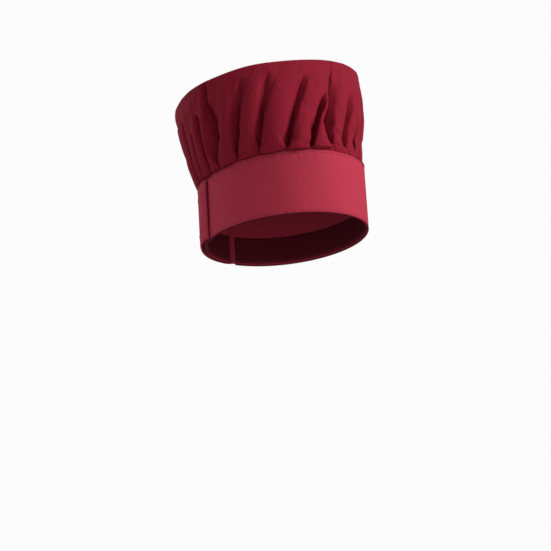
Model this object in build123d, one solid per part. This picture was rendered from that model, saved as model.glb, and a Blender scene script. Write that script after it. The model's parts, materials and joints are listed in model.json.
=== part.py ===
from build123d import *
import math
import os

# A chef's toque: a gathered crown on a stiff band that closes at the back with hook and loop.
# Millimetres. +Z up, -Y the forehead, -X the wearer's right.
# The origin is the centre of the head opening, in the plane of the hem.
# Depths are measured inward from the outside of the band, and are below 0 outside it.
# Reaches are distances round the outside of the band, from the centre of the back of the head,
# above 0 towards the wearer's right.

# The band, closed round the head
band_half_length = 100.5  # forehead to back of head, outside
band_half_width = 82.5  # temple to temple, outside
band_height = 71.0
ply = 0.55  # one thickness of twill
ply_gap = 0.05  # between two layers that are sewn together
interlining_thickness = 0.9
interlining_inset = 1.2  # from a folded edge to the interlining inside it

# The sweatband, inside the hem
sweatband_thickness = 0.9
sweatband_height = 30.0
sweatband_rise = 3.0  # above the hem

# The crown. Its gathered edge is held in the top of the band, and is its heading.
crown_ply = 0.6
heading_height = 12.0
heading_clearance = 1.0  # between the heading and the interlining below it
puff_reach = 2.0  # how far the gathers stand out over the band
puff_height = 13.0
wall_height = 98.0  # from the band to the rim, at the middle
upright_height = 38.0  # the last of the wall below the rim, nearly upright
upright_set_in = 2.5
rim_overhang_length = 5.0  # the rim's half length, beyond the band's
rim_overhang_width = 22.0
rim_lean = 11.0  # the rim's centre, behind the band's
rim_tilt = 4.6  # degrees, high at the forehead
shoulder_rise = 11.0  # from the rim to the flat of the top
shoulder_width = 24.0
shoulder_turns = (0, 20, 40, 65, 90)  # degrees round the shoulder, from the rim to the top

# The closure at the back of the head
tab_root_reach = -8.0  # where the over end of the band lifts off as a tab
under_end_reach = 0.0  # where the under end of the band stops
tab_full_reach = 2.5  # where the tab has risen clear of the under end
tab_end_reach = 107.0
tab_inset = 1.5  # the tab's edges, in from the hem and from the top of the band
tab_root_gap = 0.35
tape_start_reach = 10.0
tape_end_margin = 6.0  # from the tab's end to the hook tape
hook_tape_height = 44.0
hook_tape_thickness = 1.0
loop_tape_border = 3.0  # how far the loop tape goes past the hook tape's other edges
loop_tape_set_back = 3.0  # from the tab's end, at the tightest setting of the band
loop_tape_thickness = 0.9
tape_clearance = 0.65  # between the hook and the loop faces

# Thread
thread = 0.5
thread_lift = 0.05  # off the cloth
top_stitch_margin = 3.0
hem_stitch_margin = 3.5
edge_stitch_margin = 2.5
tape_stitch_margin = 1.5
gather_stitch_drop = 6.0  # below the top of the band
gather_thread = 0.22
bar_tack_reach = -11.0
bar_tack_height = 8.0

# The care label, inside the under end of the band, above the sweatband
label_reach = 60.0
label_width = 34.0
label_height = 22.0
label_thickness = 0.3
label_margin = 5.0  # above the sweatband

walk = 0.05  # how finely a reach is measured
wedge_step = 30.0  # degrees between the corners of a cutting wedge

core_depth = ply + ply_gap
facing_depth = core_depth + interlining_thickness + ply_gap
inside_depth = facing_depth + ply
sweatband_depth = inside_depth + ply_gap
tape_stack = loop_tape_thickness + tape_clearance + hook_tape_thickness + 2 * ply_gap
tab_lift = tape_stack + inside_depth  # from the band's outside to the tab's outside
tape_middle = band_height / 2
rim_height = band_height + wall_height


def angle_at(reach):
    """The turn from the back of the head, in degrees, at a reach round the band."""
    turn = 0.0
    walked = 0.0
    while walked < abs(reach):
        stride = math.hypot(band_half_width * math.cos(turn), band_half_length * math.sin(turn))
        turn += walk / stride
        walked += walk
    return math.copysign(math.degrees(turn), reach)


def point(angle, depth):
    """A point in plan: from the centre, on the line to an angle, out to a depth."""
    turn = math.radians(angle)
    across = -band_half_width * math.sin(turn)
    along = band_half_length * math.cos(turn)
    share = math.hypot(across / (band_half_width - depth), along / (band_half_length - depth))
    return (across / share, along / share)


def oval(depth):
    """The band's outline in plan, at a depth."""
    return Ellipse(band_half_width - depth, band_half_length - depth)


def wedge(start, end):
    """A cutting wedge in plan, from one angle to another, out past every layer."""
    steps = max(2, math.ceil((end - start) / wedge_step))
    edge = [point(start + (end - start) * step / steps, -band_half_length) for step in range(steps + 1)]
    return make_face(Polyline((0, 0), *edge, close=True))


def layer(depth, thickness, low, height, start, end):
    """A curved layer: a depth and thickness, a height above the hem, and two angles."""
    plan = (oval(depth) - oval(depth + thickness)) & wedge(start, end)
    return Pos(0, 0, low) * extrude(plan, height)


under_end = angle_at(under_end_reach)
tab_root = angle_at(tab_root_reach)
tab_full = angle_at(tab_full_reach)
tab_end = angle_at(tab_end_reach)
band_end = 360 + tab_root


def band_layer(depth, thickness, low, height):
    """A layer from the under end of the band, past the forehead, to the root of the tab."""
    return layer(depth, thickness, low, height, under_end, band_end)


def tab_layer(depth, thickness, inset):
    """A layer of the tab: up off the end of the band on a slope, then round over the under end."""
    outside = depth - tab_lift
    inside = outside + thickness
    root = angle_at(tab_root_reach + tab_root_gap)
    slope = Polyline(
        point(root, depth),
        point(root, depth + thickness),
        point(tab_full, inside),
        point(tab_full, outside),
        close=True,
    )
    round_part = (oval(outside) - oval(inside)) & wedge(tab_full, tab_end)
    edge = tab_inset + inset
    return Pos(0, 0, edge) * extrude(round_part + make_face(slope), band_height - 2 * edge)


def stitch_row(depth, height, start, end, outside=True):
    """A row of thread along the band, lying on a face at a depth."""
    row_depth = depth - thread_lift - thread / 2 if outside else depth + thread_lift
    return layer(row_depth, thread / 2, height - thread / 2, thread, start, end)


def stitch_post(depth, angle, low, high, outside=True):
    """A row of thread up the band, lying on a face at a depth."""
    half = math.degrees(thread / 2 / band_half_length)
    post_depth = depth - thread_lift - thread / 2 if outside else depth + thread_lift
    return layer(post_depth, thread / 2, low, high - low, angle - half, angle + half)


def stitch_frame(depth, start, end, low, high, outside=True):
    """Four rows of thread round a tape or a label."""
    rows = [stitch_row(depth, height, start, end, outside) for height in (low, high)]
    posts = [stitch_post(depth, angle, low, high, outside) for angle in (start, end)]
    return rows[0] + rows[1] + posts[0] + posts[1]


def crown_stations(wall):
    """Height, half width and half length of the crown's outline, a wall in from its outside."""
    heading = core_depth + wall
    puff = puff_reach - wall
    upright = upright_set_in + wall
    rim_width = band_half_width + rim_overhang_width
    rim_length = band_half_length + rim_overhang_length
    stations = [
        (band_height, band_half_width - heading, band_half_length - heading),
        (band_height + puff_height, band_half_width + puff, band_half_length + puff),
        (rim_height - upright_height, rim_width - upright, rim_length - upright),
    ]
    for turn in shoulder_turns:
        inset = wall + shoulder_width * (1 - math.cos(math.radians(turn)))
        height = rim_height + shoulder_rise * math.sin(math.radians(turn)) - wall
        stations.append((height, rim_width - inset, rim_length - inset))
    return stations


def crown_filled(wall):
    """The crown as a block, leaning back and tilting more the higher it goes."""
    sections = []
    for height, half_width, half_length in crown_stations(wall):
        share = min(1.0, (height - band_height) / wall_height)
        place = Pos(0, rim_lean * share, height) * Rot(-rim_tilt * share, 0, 0)
        sections.append(place * Ellipse(half_width, half_length))
    return loft(sections, ruled=True)


def crown():
    """One disc of twill, drawn in to the band, with its gathered heading."""
    heading = band_layer(core_depth, crown_ply, band_height - heading_height, heading_height)
    return crown_filled(0) - crown_filled(crown_ply) + heading


def band_interlining():
    height = band_height - heading_height - heading_clearance - interlining_inset
    return band_layer(core_depth, interlining_thickness, interlining_inset, height)


def hook_tape_place():
    """Start and end angles and the lowest and highest edge of the hook tape."""
    half = hook_tape_height / 2
    end = angle_at(tab_end_reach - tape_end_margin)
    return angle_at(tape_start_reach), end, tape_middle - half, tape_middle + half


def hook_tape():
    start, end, low, _ = hook_tape_place()
    depth = inside_depth + ply_gap - tab_lift
    return layer(depth, hook_tape_thickness, low, hook_tape_height, start, end)


def hook_tape_stitching():
    """Sewn through the tab, so it shows on the tape and on the outside of the tab."""
    start, end, low, high = hook_tape_place()
    turn = math.degrees(tape_stitch_margin / band_half_length)
    frame = (start + turn, end - turn, low + tape_stitch_margin, high - tape_stitch_margin)
    tape_face = inside_depth + ply_gap + hook_tape_thickness - tab_lift
    return stitch_frame(-tab_lift, *frame) + stitch_frame(tape_face, *frame, outside=False)


def loop_tape_place():
    """Start and end angles and the lowest and highest edge of the loop tape."""
    half = hook_tape_height / 2 + loop_tape_border
    start = angle_at(tape_start_reach - loop_tape_border)
    end = angle_at(tab_end_reach - loop_tape_set_back)
    return start, end, tape_middle - half, tape_middle + half


def loop_tape():
    start, end, low, high = loop_tape_place()
    depth = -ply_gap - loop_tape_thickness
    return layer(depth, loop_tape_thickness, low, high - low, start, end)


def loop_tape_stitching():
    start, end, low, high = loop_tape_place()
    turn = math.degrees(tape_stitch_margin / band_half_length)
    frame = (start + turn, end - turn, low + tape_stitch_margin, high - tape_stitch_margin)
    return stitch_frame(-ply_gap - loop_tape_thickness, *frame)


def tab_edge_stitching():
    """Along the tab's two long edges and across its free end."""
    low = tab_inset + edge_stitch_margin
    high = band_height - low
    end = angle_at(tab_end_reach - edge_stitch_margin)
    rows = [stitch_row(-tab_lift, height, tab_full, end) for height in (low, high)]
    return rows[0] + rows[1] + stitch_post(-tab_lift, end, low, high)


def band_row_ends():
    """The angles where the band's outside rows of stitches start and end."""
    start = angle_at(under_end_reach + edge_stitch_margin)
    return start, angle_at(tab_root_reach - edge_stitch_margin) + 360


def band_top_stitching():
    return stitch_row(0, band_height - top_stitch_margin, *band_row_ends())


def band_hem_stitching():
    """Along the hem, and up the under end to the top row."""
    start, end = band_row_ends()
    row = stitch_row(0, hem_stitch_margin, start, end)
    return row + stitch_post(0, start, hem_stitch_margin, band_height - top_stitch_margin - thread)


def bar_tacks():
    """Two short bars of close thread beside the root of the tab, where the closure pulls."""
    angle = angle_at(bar_tack_reach)
    low = hem_stitch_margin + edge_stitch_margin
    high = band_height - top_stitch_margin - edge_stitch_margin
    lower = stitch_post(0, angle, low, low + bar_tack_height)
    return lower + stitch_post(0, angle, high - bar_tack_height, high)


def gather_stitching():
    """The thread that draws the heading in, between the heading and the facing."""
    depth = core_depth + crown_ply + thread_lift / 2
    low = band_height - gather_stitch_drop - thread / 2
    return band_layer(depth, gather_thread, low, thread)


def label_place():
    """Start and end angles and the lowest and highest edge of the care label."""
    low = sweatband_rise + sweatband_height + label_margin
    start = angle_at(label_reach - label_width / 2)
    return start, angle_at(label_reach + label_width / 2), low, low + label_height


def care_label():
    start, end, low, _ = label_place()
    return layer(inside_depth + ply_gap, label_thickness, low, label_height, start, end)


def label_stitching():
    start, end, low, high = label_place()
    turn = math.degrees(tape_stitch_margin / band_half_length)
    frame = (start + turn, end - turn, low + tape_stitch_margin, high - tape_stitch_margin)
    return stitch_frame(inside_depth + ply_gap + label_thickness, *frame, outside=False)


def sweatband_stitching():
    depth = sweatband_depth + sweatband_thickness
    height = sweatband_rise + edge_stitch_margin
    return stitch_row(depth, height, under_end, band_end, outside=False)


nodes = {
    "crown": crown(),
    "gather_stitching": gather_stitching(),
    "band_outer_ply": band_layer(0, ply, 0, band_height),
    "band_interlining": band_interlining(),
    "band_facing": band_layer(facing_depth, ply, 0, band_height),
    "band_top_stitching": band_top_stitching(),
    "band_hem_stitching": band_hem_stitching(),
    "bar_tacks": bar_tacks(),
    "sweatband": band_layer(sweatband_depth, sweatband_thickness, sweatband_rise, sweatband_height),
    "sweatband_stitching": sweatband_stitching(),
    "care_label": care_label(),
    "label_stitching": label_stitching(),
    "loop_tape": loop_tape(),
    "loop_tape_stitching": loop_tape_stitching(),
    "tab_outer_ply": tab_layer(0, ply, 0),
    "tab_interlining": tab_layer(core_depth, interlining_thickness, interlining_inset),
    "tab_facing": tab_layer(facing_depth, ply, 0),
    "tab_edge_stitching": tab_edge_stitching(),
    "hook_tape": hook_tape(),
    "hook_tape_stitching": hook_tape_stitching(),
}

root_across, root_along = point(tab_root, 0)
print(f"the tab turns about X {root_across:.3f}, Y {root_along:.3f}")
os.makedirs("parts", exist_ok=True)
for name, shape in nodes.items():
    export_step(shape, f"parts/{name}.step")
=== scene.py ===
import json
import math

import bmesh
import bpy
import numpy as np
from mathutils import Matrix, Vector, noise


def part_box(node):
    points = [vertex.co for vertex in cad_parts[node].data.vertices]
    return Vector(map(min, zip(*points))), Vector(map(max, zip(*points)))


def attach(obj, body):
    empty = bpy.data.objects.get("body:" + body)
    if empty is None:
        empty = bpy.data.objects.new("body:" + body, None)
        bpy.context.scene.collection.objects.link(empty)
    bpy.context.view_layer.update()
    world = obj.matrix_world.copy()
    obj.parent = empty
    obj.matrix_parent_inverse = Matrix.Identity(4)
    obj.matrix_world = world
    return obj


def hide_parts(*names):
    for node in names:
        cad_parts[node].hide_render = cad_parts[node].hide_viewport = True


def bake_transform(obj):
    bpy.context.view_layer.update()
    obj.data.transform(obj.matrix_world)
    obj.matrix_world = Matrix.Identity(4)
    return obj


bl_info = {
    "name": "Chef Toque",
    "version": (1, 0, 0),
    "blender": (4, 5, 0),
    "location": "View3D > Sidebar > Chef Toque",
    "description": "Builds a gathered twill chef's toque round its packed frame",
    "category": "Object",
}

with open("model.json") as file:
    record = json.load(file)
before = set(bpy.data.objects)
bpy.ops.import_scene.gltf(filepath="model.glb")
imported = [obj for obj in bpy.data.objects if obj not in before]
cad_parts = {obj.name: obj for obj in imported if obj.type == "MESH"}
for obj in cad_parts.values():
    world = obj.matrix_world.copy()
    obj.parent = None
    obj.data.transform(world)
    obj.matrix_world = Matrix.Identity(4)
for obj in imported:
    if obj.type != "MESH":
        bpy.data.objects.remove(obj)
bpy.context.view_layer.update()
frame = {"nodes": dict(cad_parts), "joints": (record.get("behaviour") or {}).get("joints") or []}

# Metres. +Z up, -Y the forehead, -X the wearer's right. A reach is a distance round the outside of
# the band from the centre of the back of the head, and grows towards the wearer's right.
BAND_LOW, BAND_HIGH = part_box("band_outer_ply")
HALF_WIDTH = BAND_HIGH.x
HALF_LENGTH = -BAND_LOW.y
BAND_HEIGHT = BAND_HIGH.z
ROOT = Vector(frame["joints"][0]["pos_m"])


def depth_of(node):
    """How far the outside of a layer of the band lies inside the band's own outside."""
    return HALF_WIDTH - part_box(node)[1].x


CORE_DEPTH = depth_of("band_interlining")
FACING_DEPTH = depth_of("band_facing")
SWEATBAND_DEPTH = depth_of("sweatband")

TURNS = np.linspace(0, 2 * math.pi, 3601)
STRIDES = np.hypot(HALF_WIDTH * np.cos(TURNS), HALF_LENGTH * np.sin(TURNS)) * TURNS[1]
REACHES = np.concatenate([[0], np.cumsum((STRIDES[1:] + STRIDES[:-1]) / 2)])
ROUND = REACHES[-1]


def turn_at(reach):
    """The turn round the head, in radians from the back, at a reach."""
    return np.interp(np.mod(reach, ROUND), REACHES, TURNS)


def reach_at(x, depth):
    """The reach, on the wearer's right of the back, where a layer at a depth has this x."""
    return float(np.interp(math.asin(-x / (HALF_WIDTH - depth)), TURNS, REACHES))


ROOT_REACH = -np.interp(math.atan2(ROOT.x / HALF_WIDTH, ROOT.y / HALF_LENGTH), TURNS, REACHES)


def wrap(flat):
    """Flat points (reach, height, distance out from the band's outside) bent round the head."""
    turn = turn_at(flat[:, 0])
    across = -np.sin(turn) / HALF_WIDTH
    along = np.cos(turn) / HALF_LENGTH
    size = np.hypot(across, along)
    x = -HALF_WIDTH * np.sin(turn) + across / size * flat[:, 2]
    y = HALF_LENGTH * np.cos(turn) + along / size * flat[:, 2]
    return np.column_stack([x, y, flat[:, 1]])


def linear(code):
    """An sRGB hex colour as linear RGB."""
    channels = [int(code[i : i + 2], 16) / 255 for i in (1, 3, 5)]
    return tuple(c / 12.92 if c <= 0.04045 else ((c + 0.055) / 1.055) ** 2.4 for c in channels)


def add(tree, kind, settings=None, **links):
    """Adds a node. Settings go to its properties or inputs, and links name the inputs they feed.

    A link named i and a number feeds the input of that number. A colour ramp's stops are pairs of
    a position and a colour.
    """
    made = tree.nodes.new(kind)
    for key, value in (settings or {}).items():
        if key == "stops":
            elements = made.color_ramp.elements
            while len(elements) < len(value):
                elements.new(0.5)
            for element, (position, colour) in zip(elements, value):
                element.position = position
                element.color = (*colour, 1)
        elif isinstance(key, int) or key in made.inputs:
            made.inputs[key].default_value = value
        else:
            setattr(made, key, value)
    for key, source in links.items():
        name = int(key[1:]) if key[0] == "i" and key[1:].isdigit() else key.replace("_", " ")
        tree.links.new(source, made.inputs[name])
    return made


def smooth_step(value, start, end):
    """From 0 before start to 1 after end, without a corner at either."""
    share = np.clip((value - start) / (end - start), 0, 1)
    return share * share * (3 - 2 * share)


class CrownSizes(bpy.types.PropertyGroup):
    columns: bpy.props.IntProperty(name="Columns", description="Cloth points round the disc", default=540)
    heading: bpy.props.FloatProperty(
        name="Heading", description="Gathered edge held in the band", default=0.010, unit="LENGTH"
    )
    cloth: bpy.props.FloatProperty(
        name="Cloth", description="Thickness of the twill", default=0.00042, unit="LENGTH"
    )


# The cut disc, out from its middle: the flat top, the rounded shoulder, the wall and the heading.
TOP_RUN = 0.0832
SHOULDER_RUN = 0.0211
WALL_RUN = 0.1045
WALL_RISE = 0.1022
SEAM = TOP_RUN + SHOULDER_RUN + WALL_RUN
RIM = 0.1026  # from the top's middle to the rim of the wall
SHOULDER_WIDTH = 0.0200
SHOULDER_RISE = 0.0045
DOME = 0.0010  # how far the flat top rises to its middle
PUFF = 0.0017  # how far the gathers stand out over the band's top edge
PUFF_RUN = 0.0016
HEADING_TUCK = 0.0009  # how far inside the band's face the heading starts
LEAN_RIGHT = 0.0020  # where the top's middle lies beyond the band's
LEAN_BACK = 0.0130
# Each pleat: its turn from the back at the band in degrees, how far it leans by the rim, how far up
# the wall it runs as a share, how much cloth it takes and how wide it opens, against the others.
PLEATS = [
    (9, 4, 0.88, 1.0, 1.0),
    (27, 8, 0.95, 1.1, 1.3),
    (43, 6, 0.7, 0.9, 0.9),
    (56, 12, 0.66, 1.0, 0.7),
    (66, 14, 0.5, 0.8, 0.7),
    (77, 12, 0.62, 1.1, 1.0),
    (87, 12, 0.93, 1.5, 2.6),
    (101.6, 22.4, 0.97, 1.2, 1.3),
    (117.3, 25, 0.96, 1.0, 1.1),
    (135.6, 29, 0.98, 1.2, 1.1),
    (153, 31, 0.62, 0.9, 1.0),
    (171.5, 8.4, 0.97, 1.3, 1.5),
    (186.3, 15, 0.62, 1.0, 1.1),
    (198, 22, 0.4, 0.9, 0.9),
    (211, 10, 0.92, 1.1, 1.0),
    (228, 2, 0.66, 1.0, 1.2),
    (243, 6, 0.96, 1.1, 1.0),
    (260, -4, 0.8, 0.9, 1.6),
    (276, 3, 0.95, 1.2, 1.0),
    (293, -6, 0.7, 1.0, 0.8),
    (309, 0, 0.97, 1.0, 1.4),
    (326, -5, 0.8, 1.1, 1.0),
    (343, 2, 0.95, 1.0, 1.2),
]

# Up the wall, as shares of it: how wide a pleat's mouth is, and how round the panels between are.
MOUTH_AT = [0, 0.05, 0.2, 0.45, 0.8, 1.0]
MOUTHS = [0.0009, 0.0014, 0.0027, 0.0044, 0.0070, 0.010]
ROLL_AT = [0, 0.05, 0.8, 1.05]
ROLLS = [0.25, 1, 0.55, 0]
ROLL = 0.11  # how far a panel stands out, as a share of its width
PUCKER = 0.0062  # from one small pucker at the seam to the next


def crown_rings(sizes):
    """Distances down the cut disc's radius of its rings of points, closer on the wall."""
    top = np.linspace(0, TOP_RUN, 18)
    wall = np.arange(TOP_RUN + 0.0026, SEAM - 0.013, 0.0026)
    foot = np.linspace(SEAM - 0.012, SEAM + sizes.heading, 19)
    return np.concatenate([top, wall, foot])


def new_object(name, bm, material):
    """A smooth-shaded object at the origin, from a bmesh that it uses up."""
    mesh = bpy.data.meshes.new(name)
    bm.to_mesh(mesh)
    bm.free()
    mesh.polygons.foreach_set("use_smooth", [True] * len(mesh.polygons))
    made = bpy.data.objects.new(name, mesh)
    bpy.context.scene.collection.objects.link(made)
    if material:
        mesh.materials.append(material)
    return made


def crown_shape(turn, down):
    """The ungathered surface: where a point of the crown lies, by its turn and its place on the cut."""
    up = SEAM - down
    v = np.clip(up / WALL_RUN, 0, 1)
    ease = 1 - (1 - v) ** 1.7
    puff = PUFF * (1 - np.exp(-np.clip(up, 0, None) / PUFF_RUN)) - HEADING_TUCK
    half_width = HALF_WIDTH + (RIM - HALF_WIDTH) * ease + puff * (1 - v)
    half_length = HALF_LENGTH + (RIM - HALF_LENGTH) * ease + puff * (1 - v)
    bend = np.clip((up - WALL_RUN) / SHOULDER_RUN, 0, 1) * math.pi / 2
    pull = SHOULDER_WIDTH * (1 - np.cos(bend))
    inner = np.clip((up - WALL_RUN - SHOULDER_RUN) / TOP_RUN, 0, 1)
    flat = 1 - inner
    half_width = (half_width - pull) * flat
    half_length = (half_length - pull) * flat
    level = BAND_HEIGHT + v * WALL_RISE + SHOULDER_RISE * np.sin(bend) + np.minimum(up, 0)
    level = level + DOME * (1 - flat**2) * (inner > 0)
    share = np.clip((level - BAND_HEIGHT) / WALL_RISE, 0, 1)
    x = -half_width * np.sin(turn)
    y = half_length * np.cos(turn)
    # The top slopes down to the back and to the wearer's right. It stands higher and squarer over
    # the left brow, with a waist under it, and droops at the right of the nape.
    across = (0.75 * x - 0.66 * y) / RIM
    brow, nape = np.clip(across, 0, 1), np.clip(-across, 0, 1)
    slope = 0.050 * x - 0.071 * y + 0.0020 + 0.0095 * brow**2 - 0.0024 * nape
    waist = smooth_step(v, 0.0, 0.10) * (1 - smooth_step(v, 0.22, 0.60))
    push = brow**2 * (0.0024 * share**2 - 0.0042 * waist) - nape**2 * 0.0034 * share**4
    x = x - LEAN_RIGHT * share + 0.75 * push
    y = y + LEAN_BACK * share - 0.66 * push
    return np.stack([x, y, level + slope * share], axis=-1)


def pleated(columns, rings):
    """Places the cut disc's points: panels that puff between pleats, and pleats folded inward."""
    material = 2 * math.pi * np.arange(columns) / columns
    turns = np.radians([p[0] for p in PLEATS])
    leans = np.radians([p[1] for p in PLEATS])
    reaches = np.array([p[2] for p in PLEATS])
    takes = np.array([p[3] for p in PLEATS])
    widths = np.array([p[4] for p in PLEATS])
    count = len(PLEATS)
    # Where each pleat's centre lies on the cut disc: the cloth that the band's round has no room
    # for is shared out between the pleats.
    gaps = np.mod(np.roll(turns, -1) - turns, 2 * math.pi)
    spare = 2 * math.pi * SEAM - ROUND
    share = (takes + np.roll(takes, -1)) / 2
    lengths = gaps / (2 * math.pi) * ROUND + spare * share / share.sum()
    starts = turns[0] + np.concatenate([[0], np.cumsum(lengths)[:-1]]) / SEAM
    spans = lengths / SEAM
    out = np.zeros((len(rings), columns, 3))
    depth_map = np.zeros((len(rings), columns))
    turn_map = np.zeros((len(rings), columns))
    for row, down in enumerate(rings):
        up = SEAM - down
        v = min(max(up / WALL_RUN, 0.0), 1.3)
        middle = turns + leans * min(v, 1.15)
        fade = 1 - smooth_step(np.full(count, v), reaches * 0.72, np.minimum(reaches * 1.12, 0.98))
        ring_turns = np.linspace(0, 2 * math.pi, 721)
        loop = crown_shape(ring_turns, np.full(721, down))
        measure = np.concatenate([[0], np.cumsum(np.linalg.norm(np.diff(loop, axis=0), axis=1))])
        around = measure[-1] + 1e-9

        def along(turn):
            whole = np.floor(turn / (2 * math.pi))
            return whole * around + np.interp(turn - whole * 2 * math.pi, ring_turns, measure)

        def turn_of(distance):
            whole = np.floor(distance / around)
            return whole * 2 * math.pi + np.interp(distance - whole * around, measure, ring_turns)

        mouth = np.interp(v, MOUTH_AT, MOUTHS)
        for i in range(count):
            j = (i + 1) % count
            a, b = middle[i], middle[j] + (2 * math.pi if j == 0 else 0)
            room = along(b) - along(a)
            cloth = spans[i] * down
            excess = max(cloth - room, 0)
            total = fade[i] + fade[j] + 1e-6
            mouths = [min(mouth * (1 + (widths[k] - 1) * min(1, 3 * v)), room * 0.36) for k in (i, j)]
            walls = [m + excess * fade[k] / total + 1e-9 for m, k in zip(mouths, (i, j))]
            deep = [math.sqrt(max(w * w - m * m, 0)) for w, m in zip(walls, mouths)]
            inside = (np.mod(material - starts[i], 2 * math.pi) < spans[i]).nonzero()[0]
            s = np.mod(material[inside] - starts[i], 2 * math.pi) / spans[i] * cloth
            used = walls[0] + walls[1] + room - mouths[0] - mouths[1]
            s = s * used / max(cloth, 1e-9)
            left = np.clip(1 - s / walls[0], 0, 1)
            right = np.clip(1 - (used - s) / walls[1], 0, 1)
            x = np.where(
                left > 0,
                mouths[0] * (1 - left),
                np.where(right > 0, room - mouths[1] * (1 - right), mouths[0] + s - walls[0]),
            )
            y = -deep[0] * left - deep[1] * right
            panel = np.clip((x - mouths[0]) / max(room - mouths[0] - mouths[1], 1e-5), 0, 1)
            y = y + ROLL * room * np.sin(math.pi * panel) ** 0.75 * np.interp(v, ROLL_AT, ROLLS)
            lay = 1 - smooth_step(up, 0.0, 0.0045)
            x = x + lay * (deep[0] * left + deep[1] * right)
            y = y * (1 - lay) - lay * (0.0005 * right + np.where(left > 0, 0.0003 + 0.0002 * left, 0))
            small = np.sin(2 * math.pi * (s / PUCKER + 0.37 * i)) * 0.00035 * np.exp(-up / 0.011)
            y = y + small * (up > 0)
            turn_map[row, inside] = turn_of(along(a) + x)
            depth_map[row, inside] = y
    for row, down in enumerate(rings):
        out[row] = crown_shape(turn_map[row], np.full(columns, down))
    # outward direction from the smooth surface, by differences
    step = 1e-3
    for row, down in enumerate(rings):
        ahead = crown_shape(turn_map[row] + step, np.full(columns, down))
        above = crown_shape(turn_map[row], np.full(columns, down - 1e-4))
        normal = np.cross(above - out[row], ahead - out[row])
        size = np.linalg.norm(normal, axis=1, keepdims=True)
        normal = np.where(size > 1e-12, normal / np.maximum(size, 1e-12), [0, 0, 1])
        outward = np.sum(normal * (out[row] - [0, 0.005, 0.1]), axis=1, keepdims=True)
        normal = np.where(outward < 0, -normal, normal)
        slack = 0.0022 * smooth_step(SEAM - down, 0.008, 0.05)
        hollow = [noise.noise((p[0] * 17, p[1] * 17, p[2] * 6)) for p in out[row]]
        out[row] += normal * (depth_map[row] + slack * np.array(hollow))[:, None]
    return out


def settle(piece, held, frames, most):
    """Lets a cloth piece hang and fill for a few frames, with no point moved by more than most."""
    start = np.array([v.co for v in piece.data.vertices])
    piece.vertex_groups.new(name="Held").add(held, 1.0, "REPLACE")
    cloth = piece.modifiers.new("Cloth", "CLOTH")
    cloth.settings.quality = 6
    cloth.settings.mass = 0.22
    cloth.settings.tension_stiffness = 20
    cloth.settings.compression_stiffness = 12
    cloth.settings.shear_stiffness = 6
    cloth.settings.bending_stiffness = 1.2
    cloth.settings.vertex_group_mass = "Held"
    cloth.settings.use_pressure = True
    cloth.settings.uniform_pressure_force = 0.8
    cloth.settings.effector_weights.gravity = 0.15
    cloth.collision_settings.use_collision = False
    scene = bpy.context.scene
    for number in range(1, frames + 1):
        scene.frame_set(number)
    shown = piece.evaluated_get(bpy.context.evaluated_depsgraph_get())
    moved = np.array([v.co for v in shown.data.vertices])
    piece.modifiers.remove(cloth)
    piece.vertex_groups.clear()
    scene.frame_set(1)
    shift = moved - start
    far = np.linalg.norm(shift, axis=1, keepdims=True)
    soft = most * np.tanh(far / most) / np.maximum(far, 1e-9)
    piece.data.vertices.foreach_set("co", (start + shift * soft).astype(np.float32).ravel())
    piece.data.update()


class TOQUE_OT_crown(bpy.types.Operator):
    """Cuts a disc of twill, folds its pleats and lets the cloth settle"""

    bl_idname = "toque.crown"
    bl_label = "Crown"

    def execute(self, context):
        sizes = context.scene.toque_crown
        rings = crown_rings(sizes)
        bm = bmesh.new()
        chain = [bm.verts.new((0, down, 0)) for down in rings]
        for one, other in zip(chain, chain[1:]):
            bm.edges.new((one, other))
        bmesh.ops.spin(
            bm,
            geom=bm.verts[:] + bm.edges[:],
            cent=(0, 0, 0),
            axis=(0, 0, 1),
            angle=2 * math.pi,
            steps=sizes.columns,
            use_merge=True,
        )
        bmesh.ops.remove_doubles(bm, verts=bm.verts, dist=1e-6)
        uv = bm.loops.layers.uv.new("Cut")
        for face in bm.faces:
            for loop in face.loops:
                loop[uv].uv = loop.vert.co.xy
        flat = np.array([v.co for v in bm.verts])
        down = np.hypot(flat[:, 0], flat[:, 1])
        angle = np.mod(np.arctan2(-flat[:, 0], flat[:, 1]), 2 * math.pi)
        place = pleated(sizes.columns, rings)
        row = np.abs(down[:, None] - rings[None, :]).argmin(axis=1)
        column = np.mod(np.rint(angle / (2 * math.pi) * sizes.columns).astype(int), sizes.columns)
        for vert, point in zip(bm.verts, place[row, column]):
            vert.co = point
        free = [v for v, r in zip(bm.verts, row) if rings[r] < SEAM]
        bmesh.ops.smooth_vert(bm, verts=free, factor=0.5, use_axis_x=True, use_axis_y=True, use_axis_z=True)
        bmesh.ops.recalc_face_normals(bm, faces=bm.faces)
        held = [v.index for v, r in zip(bm.verts, row) if rings[r] > SEAM - 0.002]
        crown = new_object("crown_cloth", bm, bpy.data.materials["single twill with painted shade"])
        settle(crown, held, frames=10, most=0.006)
        skin = crown.modifiers.new("Cloth thickness", "SOLIDIFY")
        skin.thickness = sizes.cloth
        skin.offset = 0
        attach(crown, "hat")
        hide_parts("crown")
        return {"FINISHED"}


class BandSizes(bpy.types.PropertyGroup):
    fold: bpy.props.FloatProperty(
        name="Fold", description="How far a folded edge turns in", default=0.0008, unit="LENGTH"
    )
    cell: bpy.props.FloatProperty(
        name="Cell", description="Width of one cell of the band's cloth", default=0.0011, unit="LENGTH"
    )
    puckers: bpy.props.FloatProperty(
        name="Puckers", description="How deep the stitching draws the cloth", default=0.00035, unit="LENGTH"
    )


class ThreadSizes(bpy.types.PropertyGroup):
    pitch: bpy.props.FloatProperty(
        name="Pitch", description="From one stitch to the next", default=0.0031, unit="LENGTH"
    )
    length: bpy.props.FloatProperty(
        name="Length", description="Length of one stitch", default=0.0026, unit="LENGTH"
    )
    width: bpy.props.FloatProperty(
        name="Width", description="Thickness of the thread", default=0.00065, unit="LENGTH"
    )


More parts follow.
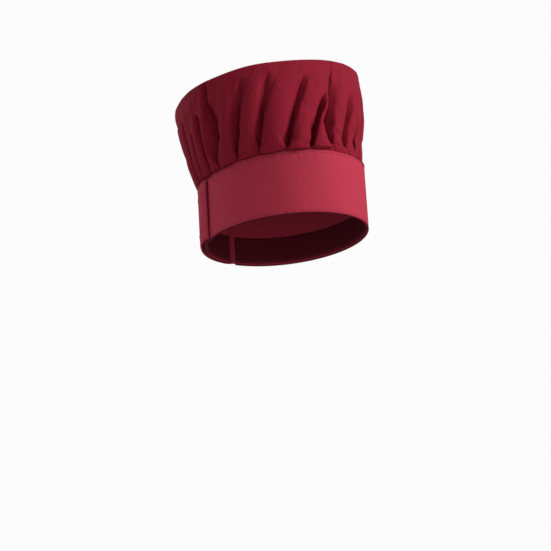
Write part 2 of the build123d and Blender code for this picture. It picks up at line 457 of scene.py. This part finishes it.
def swell(reach, height):
    """How far the band's cloth stands off its true place: slow waves, and puckers by the stitches."""
    sizes = bpy.context.scene.toque_band
    turn = 2 * math.pi * reach / ROUND
    wave = 0.00022 * np.sin(7 * turn + 0.9) + 0.00014 * np.sin(13 * turn + 40 * height)
    crease = np.sin(61 * turn + 1.3 * np.sin(5 * turn)) + 0.6 * np.sin(97 * turn + 2 * np.sin(3 * turn))
    near_top = np.exp(-(((BAND_HEIGHT - 0.004 - height) / 0.005) ** 2))
    near_hem = np.exp(-(((height - 0.0035) / 0.004) ** 2))
    seat = np.exp(-(((BAND_HEIGHT - 0.003 - height) / 0.0009) ** 2))
    seat_low = np.exp(-(((height - 0.0035) / 0.0009) ** 2))
    draw = sizes.puckers * (0.45 * crease * (near_top + 0.35 * near_hem) - 0.8 * (seat + seat_low))
    return wave * smooth_step(height, 0.0, 0.012) + draw


def band_place(flat):
    """The outside of the band: reach, height and distance out, with the cloth's swell."""
    moved = flat.copy()
    moved[:, 2] += swell(flat[:, 0], flat[:, 1])
    return wrap(moved)


TAB_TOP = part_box("tab_outer_ply")
TAB_LIFT = TAB_TOP[1].y - HALF_LENGTH
TAB_FULL = 0.003  # where the tab has risen clear of the under end
TAB_END = reach_at(TAB_TOP[0].x, -TAB_LIFT)


def tab_place(flat):
    """The tab: off the band at its root, out over the under end, and pressed down at its free end."""
    moved = flat.copy()
    rise = smooth_step(flat[:, 0], ROOT_REACH, TAB_FULL)
    press = smooth_step(flat[:, 0], TAB_END - 0.010, TAB_END + 0.001)
    level = flat[:, 1] - BAND_HEIGHT / 2
    edge = smooth_step(np.abs(level), 0.024, 0.036)
    wave = 0.00025 * np.sin(95 * flat[:, 0] + 30 * level) * edge
    moved[:, 2] += TAB_LIFT * rise - 0.0016 * press - 0.0004 * edge * rise + wave * rise
    moved[:, 2] += np.where(rise <= 0, swell(flat[:, 0], flat[:, 1]), 0)
    return wrap(moved)


def to_world(bm, place):
    flat = np.array([v.co for v in bm.verts])
    for vert, point in zip(bm.verts, place(flat)):
        vert.co = point


def cloth_strip(name, start, end, low, high, depth, place, material, thickness, turn_in=0.0, ends=()):
    """A strip of cloth from reach start to end and height low to high, with its middle at a depth.

    Its long edges, and the named ends, turn in by turn_in, or outward where that is below 0.
    """
    sizes = bpy.context.scene.toque_band
    columns = max(8, round((end - start) / sizes.cell))
    tall = abs(high - low)
    rows = max(6, round(tall / 0.0022))
    bm = bmesh.new()
    uv = bm.loops.layers.uv.new("Cut")
    bmesh.ops.create_grid(bm, x_segments=columns, y_segments=rows, size=0.5)
    turned = abs(turn_in)
    for vert in bm.verts:
        share = vert.co.y + 0.5
        # rows close up towards both edges, where the cloth folds
        share = share - 0.1 * math.sin(2 * math.pi * share) * (1 if turned else 0)
        vert.co = (start + (vert.co.x + 0.5) * (end - start), low + share * tall, -depth)
    for face in bm.faces:
        for loop in face.loops:
            loop[uv].uv = loop.vert.co.xy
    if turned:
        for vert in bm.verts:
            reach, height, out = vert.co
            from_edge = min(height - low, high - height)
            if "start" in ends:
                from_edge = min(from_edge, reach - start)
            if "end" in ends:
                from_edge = min(from_edge, end - reach)
            fold = min(1.0, max(0.0, 1 - from_edge / (1.4 * turned)))
            vert.co.z = out - turn_in * (1 - math.sqrt(max(0.0, 1 - fold * fold)))
    to_world(bm, place)
    centre = Vector((0, 0, BAND_HEIGHT / 2))
    bm.normal_update()
    middle = bm.faces[:][len(bm.faces) // 2]
    if middle.normal.dot(middle.calc_center_median() - centre) * (1 if turn_in >= 0 else -1) < 0:
        bmesh.ops.reverse_faces(bm, faces=bm.faces)
    made = new_object(name, bm, bpy.data.materials[material])
    skin = made.modifiers.new("Cloth thickness", "SOLIDIFY")
    skin.thickness = thickness
    skin.offset = 0
    return made


def dress(piece, body, nodes):
    """Parents a finished piece to its body and hides the frame's nodes that it replaces."""
    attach(piece, body)
    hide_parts(*nodes)


def bend_at_root(piece, nodes):
    """For a piece of the tab, whose cloth bends where it leaves the band: hides the frame's nodes that it
    replaces and bakes its transform into its mesh.
    """
    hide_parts(*nodes)
    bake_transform(piece)


def seams(name, lines, place, out, width_share=1.0, closeness=1.0):
    """Thread along flat lines of (reach, height) points: one small rounded stitch after another."""
    sizes = bpy.context.scene.toque_thread
    bm = bmesh.new()
    for line in lines:
        for (x0, z0), (x1, z1) in zip(line, line[1:]):
            run = math.hypot(x1 - x0, z1 - z0)
            pitch = sizes.pitch * closeness
            count = max(1, round(run / pitch))
            slope = math.atan2(z1 - z0, x1 - x0)
            for n in range(count):
                share = (n + 0.5) / count
                spot = (x0 + (x1 - x0) * share, z0 + (z1 - z0) * share, out)
                size = (sizes.length * closeness / 2, sizes.width * width_share / 2, sizes.width * 0.42)
                bmesh.ops.create_uvsphere(
                    bm,
                    u_segments=6,
                    v_segments=4,
                    radius=1,
                    matrix=Matrix.Translation(spot)
                    @ Matrix.Rotation(slope + 0.10, 4, "Z")
                    @ Matrix.Diagonal((*size, 1)),
                )
    to_world(bm, place)
    bmesh.ops.recalc_face_normals(bm, faces=bm.faces)
    return new_object(name, bm, bpy.data.materials["spun thread"])


def frame_line(start, end, low, high):
    """A line of stitches all round a tape or label, inside its cut edge."""
    start, end = start + TAPE_INSET, end - TAPE_INSET
    low, high = low + TAPE_INSET, high - TAPE_INSET
    return [[(start, low), (end, low), (end, high), (start, high), (start, low)]]


PLY = 0.0005  # one thickness of the band's twill
CORE = 0.0008  # the stiffener
BAND_END = ROUND + ROOT_REACH
TOP_ROW = BAND_HEIGHT - 0.003
HEM_ROW = 0.0035
ROW_INSET = 0.0025  # from a turned edge to its row of stitches
TAPE_INSET = 0.0015  # from a tape's or label's cut edge to its row
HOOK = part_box("hook_tape")
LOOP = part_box("loop_tape")
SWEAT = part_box("sweatband")
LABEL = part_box("care_label")


class TOQUE_OT_band(bpy.types.Operator):
    """Wraps the band's outer twill and its facing round the interlining"""

    bl_idname = "toque.band"
    bl_label = "Band"

    def execute(self, context):
        fold = context.scene.toque_band.fold
        ends = ("start", "end")
        low, high = PLY / 2, BAND_HEIGHT - PLY / 2
        for name, node, depth, place, turn_in in (
            ("band_outer_cloth", "band_outer_ply", PLY / 2, band_place, fold),
            ("band_facing_cloth", "band_facing", FACING_DEPTH + PLY / 2, wrap, -fold),
        ):
            ply = cloth_strip(name, 0, BAND_END, low, high, depth, place, "lined twill", PLY, turn_in, ends)
            dress(ply, "hat", [node])
        # The stiffener stops short of both ends, so that it never shows where the tab bends.
        low, high = (corner.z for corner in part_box("band_interlining"))
        start, end = 0.0014, BAND_END - 0.0060
        depth = CORE_DEPTH + 0.00045
        core = cloth_strip("band_interlining_strip", start, end, low, high, depth, wrap, "bonded fibre", CORE)
        dress(core, "hat", ["band_interlining"])
        return {"FINISHED"}


class TOQUE_OT_sweatband(bpy.types.Operator):
    """Lines the hem with a cotton sweatband and sews in the care label"""

    bl_idname = "toque.sweatband"
    bl_label = "Sweatband and label"

    def execute(self, context):
        thick = 0.0009
        low, high = SWEAT[0].z, SWEAT[1].z
        depth = SWEATBAND_DEPTH + thick / 2
        start, end = 0.0004, BAND_END - 0.0004
        cloth = thick * 0.8
        strip = cloth_strip(
            "sweatband_cotton_strip", start, end, low, high, depth, wrap, "brushed cotton", cloth, -0.0003
        )
        dress(strip, "hat", ["sweatband"])
        row = low + ROW_INSET
        face = -(SWEATBAND_DEPTH + thick)
        thread = seams("sweatband_thread", [[(0.002, row), (BAND_END - 0.002, row)]], wrap, face)
        dress(thread, "hat", ["sweatband_stitching"])

        low, high = LABEL[0].z, LABEL[1].z
        start, end = (reach_at(corner.x, SWEATBAND_DEPTH) for corner in (LABEL[1], LABEL[0]))
        depth = SWEATBAND_DEPTH + 0.00015
        label = cloth_strip(
            "care_label_satin", start, end, low, high, depth, wrap, "label satin", 0.00028, -0.0001
        )
        dress(label, "hat", ["care_label"])
        line = frame_line(start, end, low, high)
        thread = seams("care_label_thread", line, wrap, -(SWEATBAND_DEPTH + 0.0003), 0.6, 0.8)
        dress(thread, "hat", ["label_stitching"])
        return {"FINISHED"}


class TOQUE_OT_tab(bpy.types.Operator):
    """Builds the over end of the band: two plies round a stiffener, bending at the root"""

    bl_idname = "toque.tab"
    bl_label = "Closure tab"

    def execute(self, context):
        fold = context.scene.toque_band.fold
        start = ROOT_REACH
        low, high = TAB_TOP[0].z, TAB_TOP[1].z
        for name, node, depth, turn_in in (
            ("tab_outer_cloth", "tab_outer_ply", PLY / 2, fold),
            ("tab_facing_cloth", "tab_facing", FACING_DEPTH + PLY / 2, -fold),
        ):
            ply = cloth_strip(
                name, start, TAB_END, low, high, depth, tab_place, "lined twill", PLY, turn_in, ("end",)
            )
            bend_at_root(ply, [node])
        inset = 0.0012
        start, end = start + 0.0095, TAB_END - inset  # clear of the bend at the root
        low, high = low + inset, high - inset
        depth = CORE_DEPTH + 0.00042
        core = cloth_strip(
            "tab_interlining_strip", start, end, low, high, depth, tab_place, "bonded fibre", CORE
        )
        bend_at_root(core, ["tab_interlining"])
        return {"FINISHED"}


class TOQUE_OT_closure(bpy.types.Operator):
    """Lays the loop tape on the band and the hook tape under the tab"""

    bl_idname = "toque.closure"
    bl_label = "Hook and loop"

    def execute(self, context):
        low, high = LOOP[0].z, LOOP[1].z
        start, end = (reach_at(corner.x, -0.0009) for corner in (LOOP[1], LOOP[0]))

        def pile_place(flat):
            """On the band, with the loops' small specks."""
            moved = flat.copy()
            speck = np.sin(flat[:, 0] * 5200 + 7 * np.sin(flat[:, 1] * 3100))
            moved[:, 2] += 0.00007 * speck
            return wrap(moved)

        loops = cloth_strip(
            "loop_tape_pile", start, end, low, high, -0.0005, pile_place, "loop pile", 0.00075, 0.0003
        )
        dress(loops, "hat", ["loop_tape"])
        line = frame_line(start, end, low, high)
        thread = seams("loop_tape_thread", line, wrap, 0.00092)
        dress(thread, "hat", ["loop_tape_stitching"])

        low, high = HOOK[0].z, HOOK[1].z
        start, end = (reach_at(corner.x, -TAB_LIFT + FACING_DEPTH) for corner in (HOOK[1], HOOK[0]))
        back = FACING_DEPTH + 0.0006
        depth = back + 0.00018
        tape = cloth_strip(
            "hook_tape_backing", start, end, low, high, depth, tab_place, "hook nylon", 0.00034, -0.0002
        )
        dress(tape, "closure_tab", ["hook_tape"])
        bm = bmesh.new()
        pitch = 0.0018  # real hooks are 1 mm apart, and are coarser here so that they show
        for i in range(round((end - start) / pitch) - 1):
            for j in range(round((high - low) / pitch) - 1):
                spot = (start + (i + 1) * pitch + 0.0004 * (j % 2), low + (j + 1) * pitch, -back - 0.0006)
                bmesh.ops.create_cone(
                    bm,
                    cap_ends=True,
                    segments=5,
                    radius1=0.00022,
                    radius2=0.00034,
                    depth=0.00055,
                    matrix=Matrix.Translation(spot) @ Matrix.Rotation(math.pi, 4, "X"),
                )
        to_world(bm, tab_place)
        bmesh.ops.recalc_face_normals(bm, faces=bm.faces)
        hooks = new_object("hook_tape_hooks", bm, bpy.data.materials["hook nylon"])
        dress(hooks, "closure_tab", ["hook_tape"])

        line = frame_line(start, end, low, high)
        outside = seams("hook_tape_thread", line, tab_place, 0.0001)
        inside = seams("hook_tape_thread_inside", line, tab_place, -back - 0.0004)
        dress(outside, "closure_tab", ["hook_tape_stitching"])
        dress(inside, "closure_tab", ["hook_tape_stitching"])
        return {"FINISHED"}


class TOQUE_OT_stitching(bpy.types.Operator):
    """Sews the band's top row, its hem row, the tab's edges and the bar tacks"""

    bl_idname = "toque.stitching"
    bl_label = "Stitching"

    def execute(self, context):
        start, end = ROW_INSET, BAND_END - ROW_INSET
        top = seams("top_thread", [[(start, TOP_ROW), (end, TOP_ROW)]], band_place, 0.00015)
        dress(top, "hat", ["band_top_stitching"])
        hem_lines = [[(start, TOP_ROW - 0.003), (start, HEM_ROW), (end, HEM_ROW)]]
        hem = seams("hem_thread", hem_lines, band_place, 0.00015)
        dress(hem, "hat", ["band_hem_stitching"])
        low, high = TAB_TOP[0].z + ROW_INSET, TAB_TOP[1].z - ROW_INSET
        start, stop = 0.0035, TAB_END - ROW_INSET
        line = [(start, low), (stop, low), (stop, high), (start, high)]
        edge = seams("tab_edge_thread", [line], tab_place, 0.0001)
        dress(edge, "closure_tab", ["tab_edge_stitching"])
        # A bar tack is a short, close zigzag, one at each corner where the closure pulls.
        bars = []
        middle, half, tall, crossings = BAND_END - 0.003, 0.0011, 0.008, 22
        for low in (0.006, BAND_HEIGHT - 0.0135):
            for step in range(crossings):
                height = low + tall * step / (crossings - 1)
                lean = 0.0003 if step % 2 else -0.0003
                bars.append([(middle - half, height - lean), (middle + half, height + lean)])
        tacks = seams("bar_tack_thread", bars, band_place, 0.0002, 0.9, 0.9)
        dress(tacks, "hat", ["bar_tacks"])
        return {"FINISHED"}


class TOQUE_OT_inner_parts(bpy.types.Operator):
    """Gives the gathering thread inside the band its finish"""

    bl_idname = "toque.inner_parts"
    bl_label = "Gathering thread"

    def execute(self, context):
        thread = frame["nodes"]["gather_stitching"].data
        thread.materials.clear()
        thread.materials.append(bpy.data.materials["spun thread"])
        return {"FINISHED"}


SHEEN = (*linear("#E04058"), 1)


def start_material(name, **values):
    """A new material with its shader: plain numbers go straight on the shader's own sockets."""
    material = bpy.data.materials.new(name)
    material.use_nodes = True
    tree = material.node_tree
    tree.nodes.clear()
    shader = add(tree, "ShaderNodeBsdfPrincipled", {k.replace("_", " "): v for k, v in values.items()})
    add(tree, "ShaderNodeOutputMaterial", i0=shader.outputs[0])
    return tree, shader


def finish(tree, shader, colour, height, strength, deep, **more):
    """Gives a shader its pattern's colour and relief, and returns the relief."""
    lift = add(tree, "ShaderNodeBump", {"Strength": strength, "Distance": deep, **more}, Height=height)
    tree.links.new(colour.outputs[0], shader.inputs["Base Color"])
    tree.links.new(lift.outputs[0], shader.inputs["Normal"])
    return lift


def darker(colour, share):
    """A colour at a share of its brightness."""
    return tuple(share * channel for channel in colour)


def ridges(tree, place, direction, period):
    """A wave from 0 to 1 along a direction, one ridge in each period."""
    turns = tuple(2 * math.pi / period * d for d in direction)
    along = add(tree, "ShaderNodeVectorMath", {"operation": "DOT_PRODUCT", 1: turns}, i0=place)
    wave = add(tree, "ShaderNodeMath", {"operation": "SINE"}, i0=along.outputs["Value"])
    lifted = {"operation": "MULTIPLY_ADD", 1: 0.5, 2: 0.5}
    return add(tree, "ShaderNodeMath", lifted, i0=wave.outputs[0]).outputs[0]


class ClothColours(bpy.types.PropertyGroup):
    twill: bpy.props.StringProperty(name="Twill", description="Dyed twill, on its ribs", default="#B4374A")
    groove: bpy.props.StringProperty(
        name="Groove", description="Dyed twill, between its ribs", default="#9A2A3E"
    )
    # The crown's colours are darker than the band's: partly one ply over the dark inside, partly painted
    # shade for the shadow between its folds.
    crown: bpy.props.StringProperty(
        name="Crown", description="One ply of twill, on its ribs", default="#8E1C30"
    )
    crown_groove: bpy.props.StringProperty(
        name="Crown groove", description="One ply of twill, between its ribs", default="#68101F"
    )
    thread: bpy.props.StringProperty(name="Thread", description="Polyester sewing thread", default="#AC3C54")
    sweatband: bpy.props.StringProperty(name="Sweatband", description="Brushed cotton", default="#6A1C2C")
    interlining: bpy.props.StringProperty(name="Interlining", description="Bonded fibre", default="#DCD8D0")
    tape: bpy.props.StringProperty(name="Tape", description="Dyed nylon tape", default="#96223A")
    label: bpy.props.StringProperty(name="Label", description="Undyed satin ribbon", default="#E6E2DA")


class TOQUE_OT_materials(bpy.types.Operator):
    """Makes the cloths, the thread and the tapes"""

    bl_idname = "toque.materials"
    bl_label = "Materials"

    def execute(self, context):
        colours = context.scene.toque_colours

        # Polyester and cotton twill, piece dyed: fine slanting ribs, matt, a little paler on the ribs.
        # Its real ribs are 0.7 mm apart, and are drawn at 2.2 mm so that they show.
        # Over the pale interlining it looks brighter than the single ply of the crown. The crown's darker
        # colours are partly that, and partly painted shade for the shadow between its folds.
        rib_spacing, pick_spacing = 0.0022, 0.0025
        for name, rib_code, groove_code in (
            ("lined twill", colours.twill, colours.groove),
            ("single twill with painted shade", colours.crown, colours.crown_groove),
        ):
            tree, shader = start_material(
                name, Roughness=0.8, Sheen_Weight=0.03, Sheen_Roughness=0.4, IOR=1.5, Specular_IOR_Level=0.06
            )
            shader.inputs["Sheen Tint"].default_value = SHEEN
            cut = add(tree, "ShaderNodeUVMap", {"uv_map": "Cut"}).outputs[0]
            # Uneven yarn makes the ribs waver by half a millimetre.
            slub = add(tree, "ShaderNodeTexNoise", {"Scale": 260.0, "Detail": 3.0}, Vector=cut)
            waver = {"operation": "MULTIPLY_ADD", 1: (0.0006,) * 3}
            drift = add(tree, "ShaderNodeVectorMath", waver, i0=slub.outputs["Color"], i2=cut).outputs[0]
            rib = ridges(tree, drift, (0.746, -0.665, 0), rib_spacing)
            pick = ridges(tree, drift, (0.25, 0.97, 0), pick_spacing)
            sharp = add(tree, "ShaderNodeMath", {"operation": "MULTIPLY"}, i0=rib, i1=rib).outputs[0]
            weave = add(tree, "ShaderNodeMath", {"operation": "MULTIPLY_ADD", 1: 0.4}, i0=pick, i2=sharp)
            weave = weave.outputs[0]
            # The dye takes unevenly, in patches of a few centimetres.
            cloudy = {"Scale": 28.0, "Detail": 4.0, "Roughness": 0.6}
            patch = add(tree, "ShaderNodeTexNoise", cloudy, Vector=cut).outputs[0]
            tone = add(tree, "ShaderNodeMath", {"operation": "MULTIPLY_ADD", 1: 0.25}, i0=patch, i2=weave)
            # Painted shade: over the lowest 3 mm the twill's tone falls towards the hem's edge, for the
            # shadow under the hem's fold.
            place = add(tree, "ShaderNodeTexCoord").outputs["Object"]
            rise = add(tree, "ShaderNodeSeparateXYZ", i0=place).outputs["Z"]
            hem = add(tree, "ShaderNodeMapRange", {1: 0.0011, 2: 0.0030}, i0=rise).outputs[0]
            hem_shaded = add(tree, "ShaderNodeMath", {"operation": "MULTIPLY"}, i0=tone.outputs[0], i1=hem)
            # The darkest stop, at 0, is the painted shade at the hem's edge.
            groove = linear(groove_code)
            stops = [(0.0, darker(groove, 0.3)), (0.1, groove), (1.0, linear(rib_code))]
            colour = add(tree, "ShaderNodeValToRGB", {"stops": stops}, i0=hem_shaded.outputs[0])
            lift = finish(tree, shader, colour, weave, 0.45, 0.0003)
            # Soft crumples under the ribs, a centimetre or so across.
            rumpled = {"Scale": 75.0, "Detail": 3.0, "Roughness": 0.55}
            crumple = add(tree, "ShaderNodeTexNoise", rumpled, Vector=cut).outputs[0]
            mild = {"Strength": 0.35, "Distance": 0.0012}
            soft = add(tree, "ShaderNodeBump", mild, Height=crumple, Normal=lift.outputs[0])
            tree.links.new(soft.outputs[0], shader.inputs["Normal"])

        # Spun polyester sewing thread: a twisted, faintly glossy line close to the band's own colour.
        tree, shader = start_material("spun thread", Roughness=0.6, IOR=1.5, Specular_IOR_Level=0.15)
        place = add(tree, "ShaderNodeTexCoord").outputs["Object"]
        twist = ridges(tree, place, (0.6, 0.5, 0.62), 0.0011)
        thread = linear(colours.thread)
        stops = [(0.0, darker(thread, 0.45)), (1.0, thread)]
        colour = add(tree, "ShaderNodeValToRGB", {"stops": stops}, i0=twist)
        finish(tree, shader, colour, twist, 0.4, 0.0001)

        # Brushed cotton, plain woven: dull and dark, with a short nap. Real threads are 0.4 mm apart,
        # and are drawn at 1.4 mm so that they show.
        tree, shader = start_material("brushed cotton", Roughness=0.92, IOR=1.5, Specular_IOR_Level=0.08)
        cut = add(tree, "ShaderNodeUVMap", {"uv_map": "Cut"}).outputs[0]
        warp = ridges(tree, cut, (1, 0, 0), 0.0014)
        weft = ridges(tree, cut, (0, 1, 0), 0.0014)
        nap = add(tree, "ShaderNodeTexNoise", {"Scale": 900.0, "Detail": 2.0}, Vector=cut).outputs[0]
        plain_weave = add(tree, "ShaderNodeMath", {"operation": "MULTIPLY"}, i0=warp, i1=weft).outputs[0]
        cloth = add(tree, "ShaderNodeMath", {"operation": "MULTIPLY_ADD", 1: 0.6}, i0=nap, i2=plain_weave)
        cotton = linear(colours.sweatband)
        stops = [(0.15, darker(cotton, 0.45)), (1.0, cotton)]
        colour = add(tree, "ShaderNodeValToRGB", {"stops": stops}, i0=cloth.outputs[0])
        finish(tree, shader, colour, cloth.outputs[0], 0.6, 0.0003)

        # Bonded polyester fibre: a stiff, pale felt with fibres lying every way.
        tree, shader = start_material("bonded fibre", Roughness=0.95, IOR=1.5)
        place = add(tree, "ShaderNodeTexCoord").outputs["Object"]
        matted = {"Scale": 1100.0, "Detail": 5.0, "Distortion": 2.0}
        fibre = add(tree, "ShaderNodeTexNoise", matted, Vector=place).outputs[0]
        felt = linear(colours.interlining)
        stops = [(0.3, darker(felt, 0.72)), (0.7, felt)]
        colour = add(tree, "ShaderNodeValToRGB", {"stops": stops}, i0=fibre)
        finish(tree, shader, colour, fibre, 0.5, 0.0002)

        # Napped nylon loops: a soft brushed face with a cloudy sheen, in tufts of about 1.4 mm.
        tree, shader = start_material("loop pile", Roughness=0.85, IOR=1.53, Specular_IOR_Level=0.15)
        shader.inputs["Sheen Weight"].default_value = 0.15
        shader.inputs["Sheen Roughness"].default_value = 0.4
        shader.inputs["Sheen Tint"].default_value = SHEEN
        place = add(tree, "ShaderNodeTexCoord").outputs["Object"]
        tuft = add(tree, "ShaderNodeTexVoronoi", {"Scale": 700.0}, Vector=place).outputs["Distance"]
        nylon = linear(colours.tape)
        stops = [(0.1, nylon), (0.8, darker(nylon, 0.4))]
        colour = add(tree, "ShaderNodeValToRGB", {"stops": stops}, i0=tuft)
        finish(tree, shader, colour, tuft, 0.9, 0.0005, invert=True)

        # Woven nylon with cut monofilament hooks: a hard, faintly glossy tape.
        tree, shader = start_material("hook nylon", Roughness=0.42, IOR=1.53, Specular_IOR_Level=0.3)
        place = add(tree, "ShaderNodeTexCoord").outputs["Object"]
        grain = add(tree, "ShaderNodeTexNoise", {"Scale": 1500.0, "Detail": 2.0}, Vector=place).outputs[0]
        stops = [(0.3, darker(nylon, 0.5)), (0.7, nylon)]
        colour = add(tree, "ShaderNodeValToRGB", {"stops": stops}, i0=grain)
        finish(tree, shader, colour, grain, 0.3, 0.0001)

        # Satin ribbon, left blank: smooth, pale and glossy along its weft.
        tree, shader = start_material("label satin", Roughness=0.35, IOR=1.5, Sheen_Weight=0.2)
        cut = add(tree, "ShaderNodeUVMap", {"uv_map": "Cut"}).outputs[0]
        weft = ridges(tree, cut, (0, 1, 0), 0.0009)
        satin = linear(colours.label)
        stops = [(0.0, darker(satin, 0.82)), (1.0, satin)]
        colour = add(tree, "ShaderNodeValToRGB", {"stops": stops}, i0=weft)
        finish(tree, shader, colour, weft, 0.3, 0.0001)
        return {"FINISHED"}


class TOQUE_OT_stage(bpy.types.Operator):
    """Sets the floor, the lights and the camera"""

    bl_idname = "toque.stage"
    bl_label = "Stage"

    def execute(self, context):
        scene = context.scene
        scene.view_settings.view_transform = "Standard"
        self.place_camera(scene)
        self.place_lights(scene)
        world = self.white_studio()
        self.lay_floor()
        scene.world = world
        return {"FINISHED"}

    def place_camera(self, scene):
        """A long lens below the hem's level, in front of the wearer's right cheek."""
        turn, rise, roll = (math.radians(a) for a in (-41.72, -17.54, 3.64))
        away = 1.632
        back = Vector((math.sin(turn) * math.cos(rise), -math.cos(turn) * math.cos(rise), math.sin(rise)))
        right = Vector((math.cos(turn), math.sin(turn), 0))
        over = back.cross(right)
        view = Matrix.Rotation(roll, 3, "Z") @ Matrix((right, over, back))
        # The hem's middle shows a little above and to the right of the view's middle.
        aim = Vector((0.007017, 0.023143, -1))
        view = Vector((0, 0, -1)).rotation_difference(aim).to_matrix() @ view
        lens = bpy.data.cameras.new("camera")
        lens.sensor_width = 36
        lens.lens = 96.8
        lens.clip_start = 0.01
        camera = bpy.data.objects.new("camera", lens)
        camera.matrix_world = Matrix.Translation(back * away) @ view.transposed().to_4x4()
        scene.collection.objects.link(camera)
        scene.camera = camera

    def place_lights(self, scene):
        """Soft boxes turned to the hat: name, place, size and power in watts."""
        hat = Vector((0, 0, 0.1))
        for name, place, size, power in (
            ("key", (0.62, -1.44, 0.85), 0.8, 31),
            ("fill", (-1.0, -1.1, 0.2), 1.4, 2),
            ("back", (-0.6, 1.3, 0.9), 1.2, 8),
            ("bounce", (0.0, -0.35, -1.1), 0.9, 3),
        ):
            lamp = bpy.data.lights.new(name, "AREA")
            lamp.size = size
            lamp.energy = power
            made = bpy.data.objects.new(name, lamp)
            made.location = place
            made.rotation_euler = (hat - Vector(place)).to_track_quat("-Z", "Y").to_euler()
            scene.collection.objects.link(made)

    def white_studio(self):
        """A world that is white to look at, and dimmer as a light."""
        world = bpy.data.worlds.new("studio")
        world.use_nodes = True
        tree = world.node_tree
        tree.nodes.clear()
        seen = add(tree, "ShaderNodeBackground", {"Color": (1, 1, 1, 1), "Strength": 0.97}).outputs[0]
        lit = add(tree, "ShaderNodeBackground", {"Color": (1, 1, 1, 1), "Strength": 0.40}).outputs[0]
        path = add(tree, "ShaderNodeLightPath").outputs["Is Camera Ray"]
        mix = add(tree, "ShaderNodeMixShader", i0=path, i1=lit, i2=seen)
        add(tree, "ShaderNodeOutputWorld", i0=mix.outputs[0])
        return world

    def lay_floor(self):
        """A floor that only a camera above it sees, so that it never hides the opening from below."""
        bm = bmesh.new()
        bmesh.ops.create_circle(bm, cap_ends=True, segments=96, radius=3.0)
        bmesh.ops.translate(bm, verts=bm.verts, vec=(0, 0, -0.0006))
        floor = new_object("floor", bm, None)
        material = bpy.data.materials.new("pale studio floor")
        material.use_nodes = True
        tree = material.node_tree
        tree.nodes.clear()
        place = add(tree, "ShaderNodeTexCoord").outputs["Object"]
        grain = add(tree, "ShaderNodeTexNoise", {"Scale": 6.0, "Detail": 3.0}, Vector=place).outputs[0]
        stops = [(0.3, linear("#C9C7C4")), (0.7, linear("#CFCDCA"))]
        tint = add(tree, "ShaderNodeValToRGB", {"stops": stops}, i0=grain).outputs[0]
        # It grows paler with distance, so that it meets the white wall without a line.
        away = add(tree, "ShaderNodeVectorMath", {"operation": "LENGTH"}, i0=place).outputs["Value"]
        stops = [(0.15, (0.5,) * 3), (1.0, (0.74,) * 3)]
        glow = add(tree, "ShaderNodeValToRGB", {"stops": stops}, i0=away).outputs[0]
        matt = {"Roughness": 0.9, "Emission Strength": 1.0}
        paper = add(tree, "ShaderNodeBsdfPrincipled", matt, Base_Color=tint, Emission_Color=glow).outputs[0]
        clear = add(tree, "ShaderNodeBsdfTransparent").outputs[0]
        below = add(tree, "ShaderNodeNewGeometry").outputs["Backfacing"]
        mix = add(tree, "ShaderNodeMixShader", i0=below, i1=paper, i2=clear)
        add(tree, "ShaderNodeOutputMaterial", i0=mix.outputs[0])
        floor.data.materials.append(material)
        for ray in ("diffuse", "glossy", "transmission", "volume_scatter", "shadow"):
            setattr(floor, "visible_" + ray, False)


class TOQUE_PT_pieces(bpy.types.Panel):
    """Lists the toque's pieces, with their sizes and colours"""

    bl_idname = "TOQUE_PT_pieces"
    bl_label = "Chef Toque"
    bl_space_type = "VIEW_3D"
    bl_region_type = "UI"
    bl_category = "Chef Toque"

    def draw(self, context):
        column = self.layout.column()
        for step in STEPS:
            column.operator("toque." + step)
        for name, group in GROUPS:
            box = self.layout.box()
            for value in group.__annotations__:
                box.prop(getattr(context.scene, name), value)


STEPS = ("stage", "materials", "crown", "band", "sweatband", "tab", "closure", "stitching", "inner_parts")
CLASSES = (
    CrownSizes,
    BandSizes,
    ThreadSizes,
    ClothColours,
    TOQUE_OT_stage,
    TOQUE_OT_materials,
    TOQUE_OT_crown,
    TOQUE_OT_band,
    TOQUE_OT_sweatband,
    TOQUE_OT_tab,
    TOQUE_OT_closure,
    TOQUE_OT_stitching,
    TOQUE_OT_inner_parts,
    TOQUE_PT_pieces,
)
GROUPS = (
    ("toque_crown", CrownSizes),
    ("toque_band", BandSizes),
    ("toque_thread", ThreadSizes),
    ("toque_colours", ClothColours),
)


def register():
    for one in CLASSES:
        bpy.utils.register_class(one)
    for name, group in GROUPS:
        setattr(bpy.types.Scene, name, bpy.props.PointerProperty(type=group))


def unregister():
    for name, _ in GROUPS:
        delattr(bpy.types.Scene, name)
    for one in reversed(CLASSES):
        bpy.utils.unregister_class(one)


def main():
    register()
    for step in STEPS:
        getattr(bpy.ops.toque, step)()


if __name__ == "__main__":
    main()
